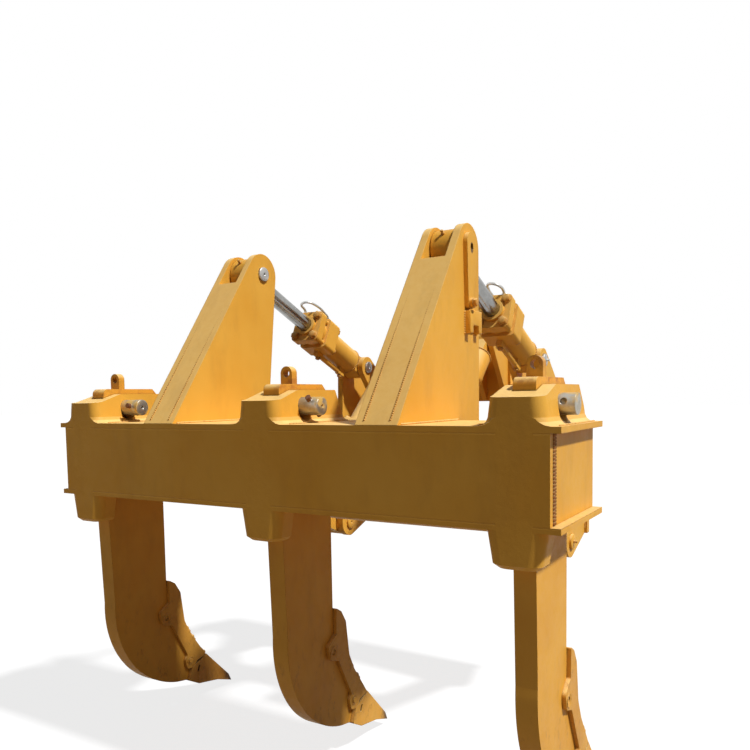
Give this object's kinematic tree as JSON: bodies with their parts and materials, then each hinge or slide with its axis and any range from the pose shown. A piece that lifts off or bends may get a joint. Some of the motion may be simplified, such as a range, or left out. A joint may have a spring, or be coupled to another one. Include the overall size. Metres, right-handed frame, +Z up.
{
  "type": "bulldozer ripper",
  "caption": "Rear ripper: a box beam with curved shanks and wear tips in cast pockets, carried on parallelogram links with lift and tilt cylinders.",
  "frame": {"origin": "centre of the bolt pattern on the bracket's mounting face, which lies against the tractor's rear", "axes": "+X to the right along the beam, +Y forward out of the mounting face to the tractor, +Z up"},
  "size_m": [2.3, 1.7735, 2.224],
  "materials": {
    "yellow_paint": "satin",
    "pin_steel": "worn",
    "rod_chrome": "polished"
  },
  "bodies": {
    "bracket": {"cheek_inner_left": "yellow_paint", "cheek_inner_right": "yellow_paint", "cheek_main_left": "yellow_paint", "cheek_main_right": "yellow_paint", "cheek_outer_left": "yellow_paint", "cheek_outer_right": "yellow_paint", "front_pin_left": "pin_steel", "front_pin_right": "pin_steel", "lift_ear_inner_left": "yellow_paint", "lift_ear_inner_right": "yellow_paint", "lift_ear_outer_left": "yellow_paint", "lift_ear_outer_right": "yellow_paint", "lift_pin_left": "pin_steel", "lift_pin_right": "pin_steel", "mount_plate": "yellow_paint"},
    "lower_frame": {"arm_left": "yellow_paint", "arm_right": "yellow_paint", "cross_tube": "yellow_paint"},
    "rear_pins": {"rear_pin_left": "pin_steel", "rear_pin_right": "pin_steel"},
    "beam": {"beam": "yellow_paint", "ear_left": "yellow_paint", "ear_right": "yellow_paint", "guard_left": "yellow_paint", "guard_middle": "yellow_paint", "guard_right": "yellow_paint", "pocket_left": "yellow_paint", "pocket_middle": "yellow_paint", "pocket_right": "yellow_paint", "shank_left": "yellow_paint", "shank_middle": "yellow_paint", "shank_pin_left": "pin_steel", "shank_pin_middle": "pin_steel", "shank_pin_right": "pin_steel", "shank_right": "yellow_paint", "tip_left": "yellow_paint", "tip_middle": "yellow_paint", "tip_right": "yellow_paint", "tower_left": "yellow_paint", "tower_pin_left": "yellow_paint", "tower_pin_right": "yellow_paint", "tower_right": "yellow_paint", "tower_stub_left": "pin_steel", "tower_stub_right": "pin_steel"},
    "tilt_pins": {"tilt_pin_left": "pin_steel", "tilt_pin_right": "pin_steel"},
    "tilt_barrels": {"tilt_barrel_left": "yellow_paint", "tilt_barrel_right": "yellow_paint", "tilt_eye_left": "yellow_paint", "tilt_eye_right": "yellow_paint"},
    "tilt_rods": {"tilt_rod_left": "rod_chrome", "tilt_rod_right": "rod_chrome"},
    "lift_barrels": {"lift_barrel_left": "yellow_paint", "lift_barrel_right": "yellow_paint", "lift_eye_left": "yellow_paint", "lift_eye_right": "yellow_paint"},
    "lift_rods": {"lift_rod_left": "rod_chrome", "lift_rod_right": "rod_chrome"}
  },
  "joints": [
    {"name": "lift", "type": "hinge", "parent": "bracket", "child": "lower_frame", "pos_m": [0, -0.28, -0.39774], "axis": [-1, 0, 0], "range_deg": [-32, 15]},
    {"name": "rear_pin_turn", "type": "hinge", "parent": "lower_frame", "child": "rear_pins", "pos_m": [0, -1.19355, 0.009], "axis": [-1, 0, 0], "range_deg": [-15.5, 32.5]},
    {"name": "tilt", "type": "hinge", "parent": "rear_pins", "child": "beam", "pos_m": [0, -1.19355, 0.009], "axis": [-1, 0, 0], "range_deg": [-10, 10]},
    {"name": "tilt_pin_turn", "type": "hinge", "parent": "bracket", "child": "tilt_pins", "pos_m": [0, -0.27, 0.50926], "axis": [-1, 0, 0], "range_deg": [-32.5, 15.5]},
    {"name": "tilt_barrel_swing", "type": "hinge", "parent": "tilt_pins", "child": "tilt_barrels", "pos_m": [0, -0.27, 0.50926], "axis": [-1, 0, 0], "range_deg": [-3.8, 3.8]},
    {"name": "tilt_rod_slide", "type": "slide", "parent": "tilt_barrels", "child": "tilt_rods", "axis": [0, -0.9135, 0.4067], "range_m": [-0.1474, 0.1474]},
    {"name": "lift_barrel_swing", "type": "hinge", "parent": "bracket", "child": "lift_barrels", "pos_m": [0, -0.19, 0.625], "axis": [-1, 0, 0], "range_deg": [-10, 4.8]},
    {"name": "lift_rod_slide", "type": "slide", "parent": "lift_barrels", "child": "lift_rods", "axis": [0, -0.7276, -0.686], "range_m": [-0.1715, 0.3635]}
  ],
  "couplings": [
    {"joint": "rear_pin_turn", "follows": "lift", "ratio": -1},
    {"joint": "tilt_pin_turn", "follows": "lift", "ratio": 1},
    {"joint": "tilt_barrel_swing", "follows": "tilt", "ratio": 0.3609},
    {"joint": "tilt_rod_slide", "follows": "tilt", "m_per_rad": -0.8328},
    {"joint": "lift_barrel_swing", "follows": "lift", "ratio": 0.3088},
    {"joint": "lift_rod_slide", "follows": "lift", "m_per_rad": -0.6473}
  ]
}
